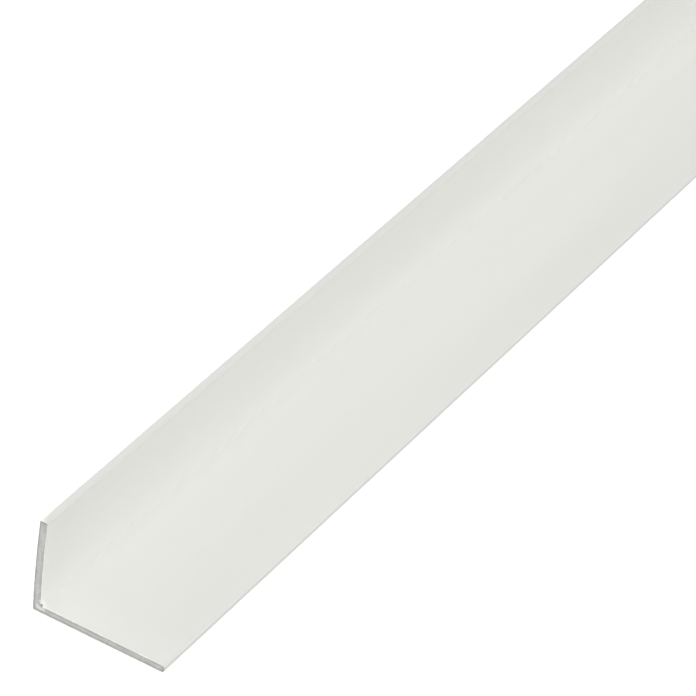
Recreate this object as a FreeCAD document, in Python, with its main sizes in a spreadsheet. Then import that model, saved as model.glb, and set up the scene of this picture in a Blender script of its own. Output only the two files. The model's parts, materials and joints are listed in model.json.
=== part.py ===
# Corner guard moulding: one length of unequal angle, extruded in rigid plastic and sawn square at
# both ends. The long leg lies flat and the short leg stands at its edge, so that the hollow
# between them, which takes the corner of a wall, is open upwards and to the side.
#
# X runs across the long leg, from the heel to its toe, Y along the stock, and Z up the short leg.
# The origin is on the underside, midway across the long leg and midway along the stock.

import FreeCAD, Part
import os
import Sketcher

# Each size in millimetres: its name, its value and what it measures
SIZES = (
    ("stock_length", 1000.0, "length between the two sawn ends"),
    ("long_leg", 35.0, "outer width of the leg that lies flat"),
    ("short_leg", 25.0, "outer height of the leg that stands"),
    ("long_leg_wall", 1.8, "thickness of the leg that lies flat"),
    ("short_leg_wall", 2.0, "thickness of the leg that stands"),
    ("crease_radius", 0.3, "fillet in the hollow, where the inner faces meet"),
    ("heel_radius", 0.25, "round on the outer corner, where the outer faces meet"),
    ("long_toe_outer_radius", 0.7, "round on the flat leg's toe, along its underside"),
    ("long_toe_inner_radius", 0.4, "round on the flat leg's toe, along its inner face"),
    ("short_toe_radius", 0.3, "easing of the two edges of the standing leg's toe"),
)

PIECE = "corner_guard"
SAME_PLACE = 1e-4

# The rounds on the section's corners: the feature's name, the corner's name and its size
ROUNDS = (
    ("Crease", "crease", "crease_radius"),
    ("Heel", "heel", "heel_radius"),
    ("LongToeOutside", "long toe outside", "long_toe_outer_radius"),
    ("LongToeInside", "long toe inside", "long_toe_inner_radius"),
    ("ShortToe", "short toe", "short_toe_radius"),
)


def add_sizes(doc):
    """Put the driving sizes in a sheet, one row each, and give each value its name."""
    sheet = doc.addObject("Spreadsheet::Sheet", "Sizes")
    for row, (name, value, meaning) in enumerate(SIZES, start=1):
        sheet.set(f"A{row}", name)
        sheet.set(f"B{row}", str(value))
        sheet.set(f"C{row}", meaning)
        sheet.setAlias(f"B{row}", name)
    doc.recompute()
    return sheet


def origin_plane(body, role):
    """The plane of the body's own origin that has this role."""
    for feature in body.Origin.OriginFeatures:
        if feature.Role == role:
            return feature
    raise RuntimeError(f"{body.Label} has no {role}")


def section_corners(sheet):
    """The six sharp corners of the section as (x, z), in order round the outline from the heel."""
    heel_x = -sheet.long_leg / 2
    toe_x = heel_x + sheet.long_leg
    crease_x = heel_x + sheet.short_leg_wall
    return {
        "heel": (heel_x, 0.0),
        "long toe outside": (toe_x, 0.0),
        "long toe inside": (toe_x, sheet.long_leg_wall),
        "crease": (crease_x, sheet.long_leg_wall),
        "short toe inside": (crease_x, sheet.short_leg),
        "short toe outside": (heel_x, sheet.short_leg),
    }


def draw_section(body, sheet):
    """Sketch the angle's section with sharp corners, every size of it bound to the sheet."""
    sketch = body.newObject("Sketcher::SketchObject", "Section")
    sketch.AttachmentSupport = [(origin_plane(body, "XZ_Plane"), "")]
    sketch.MapMode = "FlatFace"

    points = [FreeCAD.Vector(x, z, 0) for x, z in section_corners(sheet).values()]
    following = points[1:] + points[:1]
    sides = [sketch.addGeometry(Part.LineSegment(*ends)) for ends in zip(points, following)]
    underside, long_toe, long_inner, short_inner, short_toe, short_outer = sides

    start, end = 1, 2
    for side, next_side in zip(sides, sides[1:] + sides[:1]):
        sketch.addConstraint(Sketcher.Constraint("Coincident", side, end, next_side, start))
    for side in (underside, long_inner, short_toe):
        sketch.addConstraint(Sketcher.Constraint("Horizontal", side))
    for side in (long_toe, short_inner, short_outer):
        sketch.addConstraint(Sketcher.Constraint("Vertical", side))

    # The underside lies evenly about the sketch's origin
    middle = (-1, 1)
    sketch.addConstraint(Sketcher.Constraint("Symmetric", underside, start, underside, end, *middle))

    lengths = (
        ("long_leg", "DistanceX", underside, start, end),
        ("long_leg_wall", "DistanceY", long_toe, start, end),
        ("short_leg_wall", "DistanceX", short_toe, end, start),
        ("short_leg", "DistanceY", short_outer, end, start),
    )
    for size, kind, side, low_end, high_end in lengths:
        value = getattr(sheet, size)
        number = sketch.addConstraint(
            Sketcher.Constraint(kind, side, low_end, side, high_end, value)
        )
        sketch.renameConstraint(number, size)
        sketch.setExpression(f"Constraints.{size}", f"Sizes.{size}")
    return sketch


def extrude(body, sketch):
    """Extrude the section along the stock, half of the length to each side of the origin."""
    pad = body.newObject("PartDesign::Pad", "Stock")
    pad.Profile = sketch
    pad.SideType = "Symmetric"
    pad.setExpression("Length", "Sizes.stock_length")
    return pad


def lengthwise_edges(shape, places):
    """Names of the edges that run along the stock through one of the (x, z) places."""
    names = []
    for number, edge in enumerate(shape.Edges, start=1):
        ends = [vertex.Point for vertex in edge.Vertexes]
        for x, z in places:
            if all(abs(point.x - x) < SAME_PLACE and abs(point.z - z) < SAME_PLACE for point in ends):
                names.append(f"Edge{number}")
    return names


def round_edges(body, base, name, places, size):
    """Round the lengthwise edges at these places with the radius that the sheet gives."""
    fillet = body.newObject("PartDesign::Fillet", name)
    fillet.Base = (base, lengthwise_edges(base.Shape, places))
    fillet.setExpression("Radius", f"Sizes.{size}")
    body.Document.recompute()
    return fillet


def make_corner_guard(doc, sheet):
    """The whole moulding: its section, extruded, then the rounds that the die gives its edges."""
    body = doc.addObject("PartDesign::Body", "CornerGuard")
    body.Label = PIECE
    latest = extrude(body, draw_section(body, sheet))
    doc.recompute()
    corners = section_corners(sheet)
    for name, corner, size in ROUNDS:
        places = [place for label, place in corners.items() if label.startswith(corner)]
        latest = round_edges(body, latest, name, places, size)
    body.Placement = FreeCAD.Placement()
    return body


def check(doc, pieces):
    """Stop if a feature has failed, or if a piece isn't one sound solid."""
    for item in doc.Objects:
        if "Invalid" in item.State or "Error" in item.State:
            raise RuntimeError(f"{item.Label} failed: {item.State}")
    for piece in pieces:
        shape = piece.Shape
        if shape.isNull() or not shape.isValid() or len(shape.Solids) != 1:
            raise RuntimeError(f"{piece.Label} is not one valid solid")


def export(pieces):
    """Write each piece to parts/, under its own label."""
    os.makedirs("parts", exist_ok=True)
    for piece in pieces:
        piece.Shape.exportStep(f"parts/{piece.Label}.step")


doc = FreeCAD.newDocument("CornerGuardMoulding")
sheet = add_sizes(doc)
pieces = [make_corner_guard(doc, sheet)]
doc.recompute()
check(doc, pieces)
export(pieces)
for piece in pieces:
    bounds = piece.Shape.BoundBox
    print(
        piece.Label,
        f"x {bounds.XMin:.3f} to {bounds.XMax:.3f}",
        f"y {bounds.YMin:.3f} to {bounds.YMax:.3f}",
        f"z {bounds.ZMin:.3f} to {bounds.ZMax:.3f}",
        f"volume {piece.Shape.Volume:.1f} mm3",
        f"faces {len(piece.Shape.Faces)}",
    )
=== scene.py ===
"""The looks of a corner guard moulding: a white plastic angle, sawn square at both ends."""
import json
import math
from collections import namedtuple

import bpy
import numpy as np
from mathutils import Matrix, Vector, noise


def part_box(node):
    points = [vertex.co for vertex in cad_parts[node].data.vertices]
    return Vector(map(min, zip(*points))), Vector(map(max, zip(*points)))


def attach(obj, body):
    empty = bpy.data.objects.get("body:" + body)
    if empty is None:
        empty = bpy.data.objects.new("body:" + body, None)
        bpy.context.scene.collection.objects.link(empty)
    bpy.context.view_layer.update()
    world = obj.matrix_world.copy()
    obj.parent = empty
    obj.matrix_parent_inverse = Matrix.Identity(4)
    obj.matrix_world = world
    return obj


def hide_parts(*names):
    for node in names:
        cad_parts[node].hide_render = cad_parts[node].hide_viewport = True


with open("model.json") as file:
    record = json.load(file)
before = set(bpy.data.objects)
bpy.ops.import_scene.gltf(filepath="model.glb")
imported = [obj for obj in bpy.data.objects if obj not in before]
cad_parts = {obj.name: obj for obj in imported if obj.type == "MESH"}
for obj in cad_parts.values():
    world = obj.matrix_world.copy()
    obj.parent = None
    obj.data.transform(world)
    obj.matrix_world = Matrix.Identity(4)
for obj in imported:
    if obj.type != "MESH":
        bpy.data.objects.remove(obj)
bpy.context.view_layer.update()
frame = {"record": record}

MM = 0.001
NODE = "corner_guard"

# The die's section, read from the frame: the node's box and the faces that its mounts lie on
low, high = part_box(NODE)
mount_at = {mount["name"]: mount["pos_m"] for mount in frame["record"]["mounts"]}
LONG_LEG = high.x - low.x
SHORT_LEG = high.z - low.z
LONG_WALL = mount_at["long_leg_inner_face"][2] - low.z
SHORT_WALL = mount_at["short_leg_inner_face"][0] - low.x
CREASE_RADIUS = 0.3 * MM
HEEL_RADIUS = 0.25 * MM
LONG_TOE_OUTER_RADIUS = 0.7 * MM
LONG_TOE_INNER_RADIUS = 0.4 * MM
SHORT_TOE_RADIUS = 0.3 * MM

# How the short leg cooled: it bows outwards, furthest out a little above half its height
BOW = 1.0 * MM
BOW_CENTRE = 0.55

# Mesh spacing: along each leg from the corner, round the corner and each toe's edges, across the
# wall as shares of it from the outside, and along the stock from each end
LEG_STARTS = [step * MM for step in (0.05, 0.1, 0.16, 0.23, 0.31, 0.4, 0.52, 0.68, 0.88)]
LEG_SPACING = 0.25 * MM
CORNER_STEPS = 12
TOE_STEPS = 8
WALL_SHARES = (
    0, 0.02, 0.05, 0.09, 0.13, 0.18, 0.25, 0.34, 0.43,
    0.52, 0.61, 0.7, 0.79, 0.87, 0.93, 0.97, 1,
)
RINGS_NEAR_END = [
    step * MM
    for step in (0, 0.04, 0.1, 0.18, 0.3, 0.45, 0.65, 0.9, 1.3, 1.9, 3, 4.5, 6, 8, 10, 12, 14, 25, 50)
]
RING_SPACING = 50 * MM

# Each sawn end: whether it is the near one, the plane of the cut, which way along Y leads into the
# stock, and a seed of its own for the noise
End = namedtuple("End", "near plane inwards seed")
NEAR_END = End(True, low.y, 1, 3.0)
FAR_END = End(False, high.y, -1, 11.0)

# What the saw left uneven: the size of the patches, the layer of the noise that they come from, and
# the mean and the swing of their value. The streaks on the cut have a layer of their own.
Grain = namedtuple("Grain", "size layer mean swing")
COARSE_RELIEF = Grain(1.9 * MM, 0, 1, 0.65)
FINE_RELIEF = Grain(0.5 * MM, 7, 0, 0.35)
LIP_GRAIN = Grain(0.9 * MM, 20, 0.5, 0.5)
CHIP_GRAIN = Grain(1.1 * MM, 30, 0.75, 0.45)
RIM_GRAIN = Grain(0.8 * MM, 40, 0.65, 0.6)
CUT_GRAIN = Grain(1.3 * MM, 50, 1, 0.4)
FLECK_GRAIN = Grain(1.5 * MM, 80, 0, 1)
STREAK_LAYER = 60

# The shape of the sawn ends: relief of the cut, its ragged inner lip, the share of the lip's height
# by which the outside is drawn in, the outer edge that the blade broke away, and how far along the
# skin the cut's unevenness reaches
CUT_RELIEF = 0.02 * MM
LIP_HEIGHT = 0.06 * MM
LIP_REACH = 0.16 * MM
OUTSIDE_DRAWN_IN = 0.3
CHIP_WIDTH = 0.34 * MM
CHIP_DEPTH = 0.2 * MM
END_BLEND = 1.6 * MM

# The pit in the crease at the near end, with painted shade in it for the dark of the hole, and the pale
# plastic
# round it: blushes on the cut as (x, z, radius) from the crease, the last carrying the painted highlight
# onto the cut's inner edge, and a painted highlight (the glint) this far along the crease
PIT_OFFSET = (0.06 * MM, 0.08 * MM)
PIT_RADIUS = 0.45 * MM
PIT_DEPTH = 0.55 * MM
PIT_REACH = 0.7 * MM
PIT_SHADE = 0.85
PIT_SHADE_RADIUS = 1.3 * PIT_RADIUS
BLUSH_STRENGTH = 1.3
BLUSH_PLACES = [
    (x * MM, z * MM, radius * MM)
    for x, z, radius in (
        (-0.75, -0.15, 0.75),
        (-0.5, -0.5, 0.9),
        (0.1, -0.6, 0.9),
        (0.8, -0.45, 0.8),
        # this last place carries the painted highlight onto the cut's inner edge
        (-0.2, 1.3, 0.5),
    )
]
GLINT_REACH = 1.0 * MM
GLINT_LENGTH = 0.4 * MM
GLINT_RADIUS = 0.8 * MM

# Painted highlights on the skin by the cut: a band along the inner edges with white saw flecks in it,
# strongest by the crease, one on the short toe, a faint painted light further in on each leg, and one on
# the short leg's outer corner by the near end
RIM_REACH = 0.32 * MM
RIM_HIGHLIGHT = 0.3
CREASE_RIM_HIGHLIGHT = 0.5
CREASE_RIM_WIDTH = 4 * MM
CREASE_RIM_REACH = 1.0 * MM
FLECK_START = 0.18
FLECK_SPAN = 0.2
TOE_REACH = 1.0 * MM
TOE_HIGHLIGHT_WIDTH = 1.5 * MM
LONG_PAINTED_LIGHT = 0.16
LONG_PAINTED_LIGHT_REACH = 9 * MM
LONG_PAINTED_LIGHT_RISE = 8 * MM
SHORT_PAINTED_LIGHT = 0.13
SHORT_PAINTED_LIGHT_REACH = 3.5 * MM
EDGE_HIGHLIGHT_WIDTH = 0.85 * MM
EDGE_HIGHLIGHT_REACH = 13 * MM

# Painted shade on the flat leg beside the crease and painted light on the foot of the short leg, so that
# the
# crease hardly shows: the amount, where it is strongest and how wide, from the corner, and how far from
# the sawn end it takes to show in full
FLAT_LEG_SHADE = 0.026
FLAT_LEG_SHADE_PLACE = 7.0 * MM
FLAT_LEG_SHADE_WIDTH = 4.5 * MM
SHORT_FOOT_LIGHT = 0.065
SHORT_FOOT_LIGHT_PLACE = 1.4 * MM
SHORT_FOOT_LIGHT_WIDTH = 3.8 * MM
PAINTED_LIGHT_RISE = 8 * MM

# Painted shade on the skin: in the crease, on the toes' inner edges, a narrow line on the short toe's,
# on the short leg's outer edge by the cut and further on, and behind the long leg's lip
CREASE_SHADE = 0.066
CREASE_SHADE_RADIUS = 2 * CREASE_RADIUS
LONG_TOE_SHADE = 0.10
SHORT_TOE_SHADE = 0.075
TOE_SHADE_RADIUS = 0.9 * MM
TOE_LINE_SHADE = 0.18
TOE_LINE_RADIUS = 0.5 * MM
OUTER_EDGE_SHADE = (0.02, 0.10)
OUTER_EDGE_RADIUS = 1.6 * MM
OUTER_EDGE_REACH = 250 * MM
LIP_SHADE = 0.13
LIP_SHADE_REACH = 0.16 * MM

# Painted shade along the cut's outline, on the long and on the short leg: at the outline's outside and
# inside, how far in it goes, and soiling that lies all over, with the width over which one leg's gives
# way to the other's
CUT_OUTER_SHADE = (0.36, 0.45)
CUT_OUTER_WIDTH = (1.1 * MM, 0.7 * MM)
CUT_INNER_SHADE = (0.27, 0.13)
CUT_INNER_WIDTH = 0.6 * MM
CUT_SOILING = (0.025, 0.0)
LEGS_BLEND = 2 * MM

# Streaks along the wall on the cut: their size, and how much they whiten and soil it
STREAK_LENGTH = 3 * MM
STREAK_WIDTH = 0.4 * MM
STREAK_WHITENING = 0.45
STREAK_SOILING = 0.16


def smooth(t):
    """Smooth step from 0 to 1 as t goes from 0 to 1."""
    t = np.clip(t, 0.0, 1.0)
    return t * t * (3 - 2 * t)


def fade(distance, width):
    """A soft fade: 1 at no distance, about a third at this width and next to nothing at twice it."""
    return math.exp(-((distance / width) ** 2))


def between(pair, share):
    """From the first of two values to the second as the share goes from 0 to 1."""
    return pair[0] + share * (pair[1] - pair[0])


def bow_shift(x, z):
    """How far the cooled short leg lies in from the die's outer face, fading out along the long leg."""
    share = smooth((high.x - x) / LONG_LEG)
    return share * BOW * ((z - low.z) / SHORT_LEG - BOW_CENTRE) ** 2


def bowed(x, z):
    """Where a place on the die's section lies once the short leg has bowed."""
    return x + bow_shift(x, z), z


# Landmarks on the cooled section as (x, z), where its faces would meet without their rounds
CREASE = bowed(low.x + SHORT_WALL, low.z + LONG_WALL)
PIT = (CREASE[0] + PIT_OFFSET[0], CREASE[1] + PIT_OFFSET[1])
LONG_TOE = (high.x, low.z + LONG_WALL)
SHORT_TOE = bowed(low.x + SHORT_WALL, high.z)
OUTER_EDGE = bowed(low.x, high.z)


def arc(start, stop, count):
    """This many angles from one to the other, both given in degrees."""
    return np.radians(np.linspace(start, stop, count))


def toe_round(angle, radius):
    """How far a toe's edge lies back from the toe's face and in from the leg's side at this angle."""
    return radius * (1 - math.cos(angle)), radius * (1 - math.sin(angle))


def leg_shares(length):
    """Shares of a leg from the corner to its toe, close together near the corner, without the ends."""
    rest = np.arange(LEG_STARTS[-1] + LEG_SPACING, length - LEG_SPACING / 2, LEG_SPACING)
    return np.concatenate([LEG_STARTS, rest]) / length


def section_band():
    """The section as pairs of points across its wall, from the long toe round to the short toe."""
    outer = []
    inner = []
    toe_angles = arc(0, 90, TOE_STEPS)
    for angle in toe_angles:
        back, inset = toe_round(angle, LONG_TOE_OUTER_RADIUS)
        outer.append((high.x - back, low.z + inset))
        back, inset = toe_round(angle, LONG_TOE_INNER_RADIUS)
        inner.append((high.x - back, low.z + LONG_WALL - inset))

    heel = (low.x + HEEL_RADIUS, low.z + HEEL_RADIUS)
    crease = (low.x + SHORT_WALL + CREASE_RADIUS, low.z + LONG_WALL + CREASE_RADIUS)
    outer_start = high.x - LONG_TOE_OUTER_RADIUS
    inner_start = high.x - LONG_TOE_INNER_RADIUS
    for share in reversed(leg_shares(LONG_LEG)):
        outer.append((between((heel[0], outer_start), share), low.z))
        inner.append((between((crease[0], inner_start), share), low.z + LONG_WALL))

    for angle in arc(270, 180, CORNER_STEPS):
        turn = np.array([math.cos(angle), math.sin(angle)])
        outer.append(tuple(np.array(heel) + HEEL_RADIUS * turn))
        inner.append(tuple(np.array(crease) + CREASE_RADIUS * turn))

    top = high.z - SHORT_TOE_RADIUS
    for share in leg_shares(SHORT_LEG):
        outer.append((low.x, between((heel[1], top), share)))
        inner.append((low.x + SHORT_WALL, between((crease[1], top), share)))

    for angle in reversed(toe_angles):
        back, inset = toe_round(angle, SHORT_TOE_RADIUS)
        outer.append((low.x + inset, high.z - back))
        inner.append((low.x + SHORT_WALL - inset, high.z - back))
    return np.array(outer), np.array(inner)


def section_grid():
    """The section's points as a grid: stations along the wall by steps across it, with the bow added."""
    outer, inner = section_band()
    across = np.array(WALL_SHARES)[None, :, None]
    grid = outer[:, None, :] + across * (inner - outer)[:, None, :]
    grid[:, :, 0] += bow_shift(grid[:, :, 0], grid[:, :, 1])
    return grid


def rim_of(grid):
    """The grid's border as (station, step) pairs, once round."""
    stations, steps = grid.shape[:2]
    underside = [(i, 0) for i in range(stations)]
    short_toe = [(stations - 1, j) for j in range(1, steps)]
    inside = [(i, steps - 1) for i in range(stations - 2, -1, -1)]
    long_toe = [(0, j) for j in range(steps - 2, 0, -1)]
    return underside + short_toe + inside + long_toe


def outward_of(rim_points):
    """The direction out of the section at each point of its rim."""
    along = np.roll(rim_points, -1, axis=0) - np.roll(rim_points, 1, axis=0)
    outward = np.stack([-along[:, 1], along[:, 0]], axis=1)
    return outward / np.linalg.norm(outward, axis=1)[:, None]


def ring_places():
    """Places of the rings along the stock, close together at the ends."""
    near = np.array(RINGS_NEAR_END)
    inner_low = low.y + near[-1]
    inner_high = high.y - near[-1]
    count = round((inner_high - inner_low) / RING_SPACING)
    middle = np.linspace(inner_low, inner_high, count + 1)[1:-1]
    return np.concatenate([low.y + near, middle, (high.y - near)[::-1]])


def grain_at(x, z, grain, end):
    """The value that this grain has at this place on the cut."""
    place = Vector((x / grain.size, z / grain.size, end.seed + grain.layer))
    return grain.mean + grain.swing * noise.noise(place)


def bump_at(x, z, centre, radius):
    """A round bump from 1 at its centre to 0 at this radius."""
    away = math.hypot(x - centre[0], z - centre[1]) / radius
    return 1 - smooth(away)


def cut_depth(x, z, share, end):
    """How far the sawn face lies in from its plane at this place, this share of the way across."""
    depth = CUT_RELIEF * (grain_at(x, z, COARSE_RELIEF, end) + grain_at(x, z, FINE_RELIEF, end))
    ragged = grain_at(x, z, CHIP_GRAIN, end)
    depth += CHIP_DEPTH * ragged * max(0.0, 1 - share * LONG_WALL / (CHIP_WIDTH * ragged))
    if end.near:
        depth += PIT_DEPTH * bump_at(x, z, PIT, PIT_RADIUS)
    return max(depth, 0.0)


def inner_face_tones(x, z, reach, end):
    """How much saw whitening and painted light, and how much painted shade, an inner face has at this
    place, this far from the sawn end.
    """
    from_crease = math.hypot(x - CREASE[0], z - CREASE[1])
    ragged = grain_at(x, z, RIM_GRAIN, end)
    fleck = smooth((grain_at(x, z, FLECK_GRAIN, end) - FLECK_START) / FLECK_SPAN)
    # painted highlight along the inner edges by the cut, with white saw flecks in it
    whitened = (RIM_HIGHLIGHT * ragged + fleck) * fade(reach, RIM_REACH)
    # painted highlight on the inner faces, strongest by the crease
    by_crease = CREASE_RIM_HIGHLIGHT * math.exp(-from_crease / CREASE_RIM_WIDTH)
    whitened += by_crease * fade(reach, CREASE_RIM_REACH)
    shown_from_end = smooth(reach / PAINTED_LIGHT_RISE)
    if z >= low.z + LONG_WALL + CREASE_RADIUS:
        # painted light on the short leg's inner face near the cut
        whitened += SHORT_PAINTED_LIGHT * fade(reach, SHORT_PAINTED_LIGHT_REACH)
        # painted light at the foot of the short leg
        whitened += shown_from_end * SHORT_FOOT_LIGHT * fade(from_crease - SHORT_FOOT_LIGHT_PLACE, SHORT_FOOT_LIGHT_WIDTH)
        return whitened, 0.0
    # painted light on the long leg's inner face, rising away from the crease
    painted_light = LONG_PAINTED_LIGHT * smooth((x - CREASE[0]) / LONG_PAINTED_LIGHT_RISE)
    whitened += painted_light * fade(reach, LONG_PAINTED_LIGHT_REACH)
    # painted shade on the long leg beside the crease
    painted_shade = shown_from_end * FLAT_LEG_SHADE * fade(from_crease - FLAT_LEG_SHADE_PLACE, FLAT_LEG_SHADE_WIDTH)
    # painted shade on the skin just behind the long leg's lip
    painted_shade += LIP_SHADE * fade(reach, LIP_SHADE_REACH)
    return whitened, painted_shade


def outer_part(x, width):
    """1 on the outer half of this width of the short leg's wall, and from there down to 0 at its end."""
    return smooth(2 * (1 - (x - low.x) / width))


def skin_shade(x, z, reach):
    """The painted shade in the crease and on the toes' edges at this place."""
    along_edge = between(OUTER_EDGE_SHADE, smooth(reach / OUTER_EDGE_REACH))
    spots = (
        (CREASE_SHADE, CREASE, CREASE_SHADE_RADIUS),
        (LONG_TOE_SHADE, LONG_TOE, TOE_SHADE_RADIUS),
        (SHORT_TOE_SHADE, SHORT_TOE, TOE_SHADE_RADIUS),
        (TOE_LINE_SHADE, SHORT_TOE, TOE_LINE_RADIUS),
        (along_edge, OUTER_EDGE, OUTER_EDGE_RADIUS),
    )
    return max(amount * bump_at(x, z, place, radius) for amount, place, radius in spots)


def skin_tones(x, z, reach, end, on_inside, on_short_toe):
    """How much saw whitening and painted highlight, and how much painted shade, the skin has at this
    place, each from 0 to 1.
    """
    whitened = 0.0
    painted_shade = 0.0
    if on_inside:
        whitened, painted_shade = inner_face_tones(x, z, reach, end)
    if on_short_toe:
        # painted highlight on the short toe's outer part by the cut
        whitened = outer_part(x, TOE_HIGHLIGHT_WIDTH) * fade(reach, TOE_REACH)
    soiled = skin_shade(x, z, reach) + painted_shade
    if end.near:
        # painted highlight (the glint) along the crease beyond the pit
        glint = fade(reach - GLINT_REACH, GLINT_LENGTH) * bump_at(x, z, CREASE, GLINT_RADIUS)
        whitened = max(whitened, glint)
        # painted highlight along the short leg's outer corner by the near end
        if reach < EDGE_HIGHLIGHT_REACH and z > high.z - EDGE_HIGHLIGHT_WIDTH:
            whitened = max(whitened, outer_part(x, EDGE_HIGHLIGHT_WIDTH * (1 - reach / EDGE_HIGHLIGHT_REACH)))
        # painted shade in the pit on the skin, for the dark of the hole
        shade_in_pit = PIT_SHADE * (1 - smooth(reach / PIT_REACH))
        soiled = max(soiled, shade_in_pit * bump_at(x, z, PIT, PIT_SHADE_RADIUS))
    return min(whitened, 1.0), soiled


def standing_part(x, z):
    """0 on the long leg's part of the cut and 1 on the short leg's, with a blend between them."""
    return smooth(0.5 + ((z - low.z) - (x - low.x)) / LEGS_BLEND)


def cut_tones(x, z, share, end):
    """How much whitening (with a painted highlight by the crease) and how much soiling and painted shade
    the sawn face has at this place, each from 0 to 1.
    """
    uneven = grain_at(x, z, CUT_GRAIN, end)
    standing = standing_part(x, z)
    outside = min(share * LONG_WALL, high.x - x, high.z - z) / between(CUT_OUTER_WIDTH, standing)
    inside = (1 - share) * LONG_WALL / CUT_INNER_WIDTH
    # painted shade along the cut's outer and inner edges, of uneven strength
    outer = between(CUT_OUTER_SHADE, standing) * uneven * (1 - smooth(outside))
    inner = between(CUT_INNER_SHADE, standing) * uneven * (1 - smooth(inside))
    along = (x - low.x + z - low.z) / STREAK_LENGTH
    across = share * LONG_WALL / STREAK_WIDTH
    streak = noise.noise(Vector((along, across, end.seed + STREAK_LAYER)))
    whitened = STREAK_WHITENING * max(streak, 0.0)
    streaked = STREAK_SOILING * max(-streak, 0.0)
    all_over = between(CUT_SOILING, standing)
    if not end.near:
        return whitened, max(outer, inner) + streaked + all_over
    blush = BLUSH_STRENGTH * max(
        bump_at(x - CREASE[0], z - CREASE[1], (place_x, place_z), radius)
        for place_x, place_z, radius in BLUSH_PLACES
    )
    blush = min(1.0, blush)
    # painted shade in the pit on the cut, for the dark of the hole
    pit = PIT_SHADE * bump_at(x, z, PIT, PIT_SHADE_RADIUS)
    soiled = max(outer, inner * (1 - blush), pit) + (streaked + all_over) * (1 - blush)
    return max(whitened, blush), soiled


# The two finishes, numbered as their materials are on the piece, and the tones as skin of a point
# that only the cut reaches
SKIN = 0
CUT = 1
NO_SKIN = (0.0, 0.0)
CORNERS_A_FACE = 4


class Surface:
    """The moulding's surface as it grows: points with their tones, and faces with their finish."""

    def __init__(self):
        self.points = []
        self.skin = []
        self.cut = []
        self.faces = []
        self.finishes = []

    def add_point(self, place, skin, cut):
        """Add a point with its tones as skin and as cut, and give its number."""
        self.points.append(place)
        self.skin.append(skin)
        self.cut.append(cut)
        return len(self.points) - 1

    def add_face(self, corners, finish):
        """Add a face with these four corners, in this finish."""
        self.faces.append(corners)
        self.finishes.append(finish)

    def as_mesh(self, name):
        """The surface as a smooth mesh, crisp round each cut."""
        mesh = bpy.data.meshes.new(name)
        mesh.from_pydata(self.points, [], self.faces)
        mesh.polygons.foreach_set("material_index", self.finishes)
        mesh.polygons.foreach_set("use_smooth", [True] * len(self.faces))
        self.add_tones(mesh)
        self.mark_cut_edges(mesh)
        mesh.update()
        return mesh

    def add_tones(self, mesh):
        """Keep each face corner's whitening and painted highlight, and its soiling and painted shade, on
        the mesh, for the two finishes to read.
        """
        corner_point = np.empty(len(mesh.loops), dtype=np.int32)
        mesh.loops.foreach_get("vertex_index", corner_point)
        on_cut = np.repeat(self.finishes, CORNERS_A_FACE)[:, None] == CUT
        tones = np.where(on_cut, np.array(self.cut)[corner_point], np.array(self.skin)[corner_point])
        for column, name in enumerate(("whitened", "soiled")):
            attribute = mesh.attributes.new(name, "FLOAT", "CORNER")
            attribute.data.foreach_set("value", np.ascontiguousarray(tones[:, column]))

    def mark_cut_edges(self, mesh):
        """Make the edges between the skin and a sawn face crisp."""
        kinds = {}
        for face, finish in zip(mesh.polygons, self.finishes):
            for key in face.edge_keys:
                kinds.setdefault(key, set()).add(finish)
        crisp = [len(kinds[edge.key]) == 2 for edge in mesh.edges]
        attribute = mesh.attributes.new("sharp_edge", "BOOLEAN", "EDGE")
        attribute.data.foreach_set("value", crisp)


def add_skin(surface, grid, rim):
    """Sweep the section's rim along the stock, and give each ring's point numbers."""
    stations, steps = grid.shape[:2]
    rim_points = np.array([grid[place] for place in rim])
    outward = outward_of(rim_points)
    rings = []
    for y in ring_places():
        end = NEAR_END if y < 0 else FAR_END
        reach = (y - end.plane) * end.inwards
        lip = LIP_HEIGHT * math.exp(-reach / LIP_REACH)
        blend = max(0.0, 1 - reach / END_BLEND)
        ring = []
        for (i, j), (x, z), (out_x, out_z) in zip(rim, rim_points, outward):
            share = WALL_SHARES[j]
            on_inside = j == steps - 1 and TOE_STEPS <= i < stations - TOE_STEPS
            on_short_toe = i >= stations - TOE_STEPS and j > 0
            depth = cut_depth(x, z, share, end) * blend if blend else 0.0
            ragged = grain_at(x, z, LIP_GRAIN, end)
            push = lip * ragged ** 2 if on_inside else -OUTSIDE_DRAWN_IN * lip * ragged
            place = (x + push * out_x, y + end.inwards * depth, z + push * out_z)
            skin = skin_tones(x, z, reach, end, on_inside, on_short_toe)
            ring.append(surface.add_point(place, skin, cut_tones(x, z, share, end)))
        rings.append(ring)

    around = len(rim)
    for ring, next_ring in zip(rings, rings[1:]):
        for k in range(around):
            after = (k + 1) % around
            surface.add_face((ring[k], next_ring[k], next_ring[after], ring[after]), SKIN)
    return rings


def add_sawn_face(surface, grid, rim, ring, end):
    """Close one end with a grid of faces that shares its border with the skin's last ring there."""
    stations, steps = grid.shape[:2]
    number = dict(zip(rim, ring))
    for i in range(stations):
        for j in range(steps):
            if (i, j) in number:
                continue
            x, z = grid[i, j]
            share = WALL_SHARES[j]
            place = (x, end.plane + end.inwards * cut_depth(x, z, share, end), z)
            number[i, j] = surface.add_point(place, NO_SKIN, cut_tones(x, z, share, end))
    for i in range(stations - 1):
        for j in range(steps - 1):
            corners = (number[i, j], number[i + 1, j], number[i + 1, j + 1], number[i, j + 1])
            surface.add_face(corners if end.near else corners[::-1], CUT)


def build_moulding():
    """The moulding: its skin swept along the stock and a gridded face on each sawn end."""
    surface = Surface()
    grid = section_grid()
    rim = rim_of(grid)
    rings = add_skin(surface, grid, rim)
    add_sawn_face(surface, grid, rim, rings[0], NEAR_END)
    add_sawn_face(surface, grid, rim, rings[-1], FAR_END)
    piece = bpy.data.objects.new("moulding", surface.as_mesh("moulding"))
    bpy.context.scene.collection.objects.link(piece)
    return piece


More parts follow.
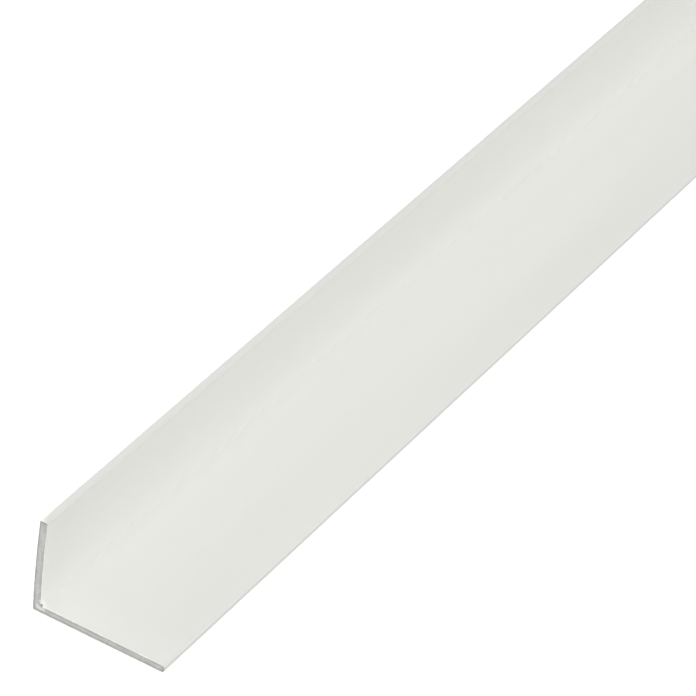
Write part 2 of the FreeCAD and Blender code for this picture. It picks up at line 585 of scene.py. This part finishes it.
# The colours of plastic whitened by the saw and of painted highlight, of what soils it and of painted
# shade, of the skin and of the sawn face
WHITENED_AND_HIGHLIGHT = (0.93, 0.93, 0.91)
SOILED_AND_SHADE = (0.12, 0.12, 0.11)
SKIN_LIGHT = (0.72, 0.718, 0.688)
SKIN_DARK = (0.70, 0.698, 0.668)
SAWN_LIGHT = (0.76, 0.758, 0.72)
SAWN_DARK = (0.60, 0.60, 0.565)

# The plastic's gloss: the skin's roughness has this floor and rises by up to this much with wear
PLASTIC_IOR = 1.53
SKIN_ROUGHNESS = 0.40
SKIN_ROUGHNESS_SPAN = 0.14
SAWN_ROUGHNESS = 0.78

# Noise in the skin, in the sawn face and in the floor: features a metre along X, Y and Z
MOTTLE_SCALE = (60, 6, 60)
DIE_LINE_SCALE = (1400, 2.5, 1400)
UNEVEN_SCALE = (420, 160, 420)
WEAR_SCALE = (90, 12, 90)
PATCH_SCALE = (900, 900, 900)
SCRATCH_SCALE = (900, 900, 9000)
SPECK_SCALE = (5200, 5200, 5200)
FLOOR_SCALE = (1.5, 1.5, 1.5)


class Nodes:
    """A material's node tree, with short calls for the nodes that the finishes are made of."""

    def __init__(self, name):
        self.material = bpy.data.materials.new(name)
        self.material.use_nodes = True
        self.tree = self.material.node_tree
        self.shader = self.tree.nodes["Principled BSDF"]
        coordinates = self.tree.nodes.new("ShaderNodeTexCoord")
        self.place = coordinates.outputs["Object"]

    def link(self, output, target):
        """Lead an output to a socket."""
        self.tree.links.new(output, target)

    def scaled(self, scale):
        """The object's coordinates, multiplied by these factors."""
        node = self.tree.nodes.new("ShaderNodeMapping")
        node.inputs["Scale"].default_value = scale
        self.link(self.place, node.inputs["Vector"])
        return node.outputs["Vector"]

    def noise(self, scale, detail, roughness=0.5):
        """Noise with about this many features a metre along each axis."""
        node = self.tree.nodes.new("ShaderNodeTexNoise")
        node.inputs["Scale"].default_value = 1.0
        node.inputs["Detail"].default_value = detail
        node.inputs["Roughness"].default_value = roughness
        self.link(self.scaled(scale), node.inputs["Vector"])
        return node.outputs["Fac"]

    def ramp(self, value, dark, light):
        """A colour ramp whose stops are each a (position, colour) pair."""
        node = self.tree.nodes.new("ShaderNodeValToRGB")
        for element, (position, colour) in zip(node.color_ramp.elements, (dark, light)):
            element.position = position
            element.color = (*colour, 1.0)
        self.link(value, node.inputs["Fac"])
        return node.outputs["Color"]

    def bump(self, height, strength, distance, below=None):
        """A bump from this height, over another bump where one is given."""
        node = self.tree.nodes.new("ShaderNodeBump")
        node.inputs["Strength"].default_value = strength
        node.inputs["Distance"].default_value = distance
        self.link(height, node.inputs["Height"])
        if below is not None:
            self.link(below, node.inputs["Normal"])
        return node.outputs["Normal"]

    def tone(self, name):
        """One of the mesh's own tones."""
        node = self.tree.nodes.new("ShaderNodeAttribute")
        node.attribute_name = name
        return node.outputs["Fac"]

    def mixed(self, share, colour, other):
        """A colour output mixed with a plain colour by this share."""
        node = self.tree.nodes.new("ShaderNodeMix")
        node.data_type = "RGBA"
        self.link(share, node.inputs["Factor"])
        self.link(colour, node.inputs["A"])
        node.inputs["B"].default_value = (*other, 1.0)
        return node.outputs["Result"]

    def with_marks_and_light(self, colour):
        """The colour with the mesh's whitening and painted highlight, and its soiling and painted shade,
        on it.
        """
        colour = self.mixed(self.tone("whitened"), colour, WHITENED_AND_HIGHLIGHT)
        return self.mixed(self.tone("soiled"), colour, SOILED_AND_SHADE)

    def math(self, operation, value, number):
        """One arithmetic step on an output and a number."""
        node = self.tree.nodes.new("ShaderNodeMath")
        node.operation = operation
        self.link(value, node.inputs[0])
        node.inputs[1].default_value = number
        return node.outputs["Value"]


def extruded_skin():
    """Smooth satin skin from the die: faint lines along the stock and a fine, soft unevenness."""
    nodes = Nodes("extruded_skin")
    mottle = nodes.noise(MOTTLE_SCALE, detail=4.0)
    colour = nodes.ramp(mottle, dark=(0.3, SKIN_DARK), light=(0.7, SKIN_LIGHT))
    nodes.link(nodes.with_marks_and_light(colour), nodes.shader.inputs["Base Color"])

    die_lines = nodes.noise(DIE_LINE_SCALE, detail=4.0, roughness=0.6)
    uneven = nodes.noise(UNEVEN_SCALE, detail=2.0)
    normal = nodes.bump(die_lines, strength=0.10, distance=0.02 * MM)
    normal = nodes.bump(uneven, strength=0.12, distance=0.03 * MM, below=normal)
    nodes.link(normal, nodes.shader.inputs["Normal"])

    wear = nodes.noise(WEAR_SCALE, detail=5.0)
    roughness = nodes.math("MULTIPLY", wear, SKIN_ROUGHNESS_SPAN)
    roughness = nodes.math("ADD", roughness, SKIN_ROUGHNESS)
    nodes.link(roughness, nodes.shader.inputs["Roughness"])
    nodes.shader.inputs["IOR"].default_value = PLASTIC_IOR
    nodes.shader.inputs["Specular IOR Level"].default_value = 0.5
    return nodes.material


def sawn_face():
    """Matt sawn plastic: fine scratches from the blade, torn specks and an uneven, duller white."""
    nodes = Nodes("sawn_face")
    patches = nodes.noise(PATCH_SCALE, detail=5.0, roughness=0.65)
    colour = nodes.ramp(patches, dark=(0.32, SAWN_DARK), light=(0.68, SAWN_LIGHT))
    nodes.link(nodes.with_marks_and_light(colour), nodes.shader.inputs["Base Color"])

    scratches = nodes.noise(SCRATCH_SCALE, detail=3.0, roughness=0.7)
    specks = nodes.noise(SPECK_SCALE, detail=2.0)
    normal = nodes.bump(scratches, strength=0.35, distance=0.02 * MM)
    normal = nodes.bump(specks, strength=0.30, distance=0.02 * MM, below=normal)
    nodes.link(normal, nodes.shader.inputs["Normal"])
    nodes.shader.inputs["Roughness"].default_value = SAWN_ROUGHNESS
    nodes.shader.inputs["IOR"].default_value = PLASTIC_IOR
    return nodes.material


def add_moulding():
    """The moulding in place of its plain solid, with its two finishes."""
    piece = build_moulding()
    piece.data.materials.append(extruded_skin())
    piece.data.materials.append(sawn_face())
    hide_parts(NODE)
    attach(piece, "root")


# The floor, and the plain white of its glow and of the surround
WHITE = (1.0, 1.0, 1.0, 1.0)
FLOOR_SIZE = 14.0
FLOOR_COLOUR = (0.94, 0.94, 0.935)
FLOOR_PALER = (0.95, 0.95, 0.945)
FLOOR_GLOW = 0.36


def add_floor():
    """A plain pale floor, level with the underside: a sheet over a light table, with a faint glow."""
    half = FLOOR_SIZE / 2
    corners = [(-half, -half, 0), (half, -half, 0), (half, half, 0), (-half, half, 0)]
    mesh = bpy.data.meshes.new("floor")
    mesh.from_pydata(corners, [], [(0, 1, 2, 3)])
    floor = bpy.data.objects.new("floor", mesh)
    floor.location.z = low.z
    bpy.context.scene.collection.objects.link(floor)

    nodes = Nodes("floor_paper")
    tone = nodes.noise(FLOOR_SCALE, detail=2.0)
    colour = nodes.ramp(tone, dark=(0.3, FLOOR_COLOUR), light=(0.7, FLOOR_PALER))
    nodes.link(colour, nodes.shader.inputs["Base Color"])
    nodes.shader.inputs["Emission Color"].default_value = WHITE
    nodes.shader.inputs["Emission Strength"].default_value = FLOOR_GLOW
    nodes.shader.inputs["Roughness"].default_value = 0.9
    nodes.shader.inputs["Specular IOR Level"].default_value = 0.2
    nodes.material.cycles.emission_sampling = "NONE"
    mesh.materials.append(nodes.material)
    floor.visible_diffuse = False
    floor.visible_glossy = False
    floor.visible_shadow = False


# Soft studio light: the surround's tones above and below the horizon, and each softbox as
# (name, watts, size, place), all aimed at the near stretch of the stock
SKY_TONE = 0.463
GROUND_TONE = 0.535
HORIZON_BLEND = 0.12
SUBJECT = Vector((0.0, -0.36, 0.0))
SOFTBOXES = (
    ("top_softbox", 15.2, 1.6, (0.35, -0.30, 1.9)),
    ("right_softbox", 15.8, 1.2, (1.7, -0.25, 0.75)),
    ("front_softbox", 11.2, 1.0, (0.25, -2.2, 0.85)),
    ("low_left_softbox", 8.0, 0.5, (-1.9, -0.25, 0.30)),
)


def add_surround():
    """An even white surround, a little brighter below the horizon than above it."""
    world = bpy.data.worlds.new("studio")
    bpy.context.scene.world = world
    world.use_nodes = True
    tree = world.node_tree
    background = tree.nodes["Background"]
    direction = tree.nodes.new("ShaderNodeTexCoord")
    parts = tree.nodes.new("ShaderNodeSeparateXYZ")
    blend = tree.nodes.new("ShaderNodeMapRange")
    blend.interpolation_type = "SMOOTHSTEP"
    blend.inputs["From Min"].default_value = -HORIZON_BLEND
    blend.inputs["From Max"].default_value = HORIZON_BLEND
    blend.inputs["To Min"].default_value = GROUND_TONE
    blend.inputs["To Max"].default_value = SKY_TONE
    tree.links.new(direction.outputs["Generated"], parts.inputs["Vector"])
    tree.links.new(parts.outputs["Z"], blend.inputs["Value"])
    tree.links.new(blend.outputs["Result"], background.inputs["Strength"])
    background.inputs["Color"].default_value = WHITE


def add_softboxes():
    """The square softboxes, each facing the subject."""
    for name, watts, size, place in SOFTBOXES:
        light = bpy.data.lights.new(name, "AREA")
        light.energy = watts
        light.shape = "SQUARE"
        light.size = size
        lamp = bpy.data.objects.new(name, light)
        lamp.location = place
        lamp.rotation_euler = (SUBJECT - Vector(place)).to_track_quat("-Z", "Y").to_euler()
        bpy.context.scene.collection.objects.link(lamp)


# The camera, solved from the photograph's silhouettes and the square corner of the sawn end
CAMERA_AZIMUTH = math.radians(27.269)
CAMERA_ELEVATION = math.radians(36.412)
CAMERA_ROLL = math.radians(7.442)
CAMERA_AIM = Vector((-12.31, -375.28, 1.96)) * MM
CAMERA_DISTANCE = 1207.19 * MM
SENSOR_WIDTH = 36.0
LENS = 263.09


def add_camera():
    """The photograph's viewpoint, rolled as its picture leans."""
    turn = CAMERA_AZIMUTH
    rise = CAMERA_ELEVATION
    back = Vector((math.sin(turn) * math.cos(rise), -math.cos(turn) * math.cos(rise), math.sin(rise)))
    level = Vector((math.cos(turn), math.sin(turn), 0.0))
    right = level * math.cos(CAMERA_ROLL) + back.cross(level) * math.sin(CAMERA_ROLL)
    up = back.cross(right)
    data = bpy.data.cameras.new("camera")
    data.sensor_fit = "HORIZONTAL"
    data.sensor_width = SENSOR_WIDTH
    data.lens = LENS
    data.clip_start = 0.01
    data.clip_end = 50.0
    camera = bpy.data.objects.new("camera", data)
    turned = Matrix((right, up, back)).transposed().to_4x4()
    camera.matrix_world = Matrix.Translation(CAMERA_AIM + back * CAMERA_DISTANCE) @ turned
    bpy.context.scene.collection.objects.link(camera)
    bpy.context.scene.camera = camera


def set_tones():
    """Plain tones, so that white stays neutral and bright as in the photograph."""
    settings = bpy.context.scene.view_settings
    settings.view_transform = "Standard"
    settings.look = "None"
    settings.exposure = 0.0
    settings.gamma = 1.0


add_moulding()
add_floor()
add_surround()
add_softboxes()
add_camera()
set_tones()
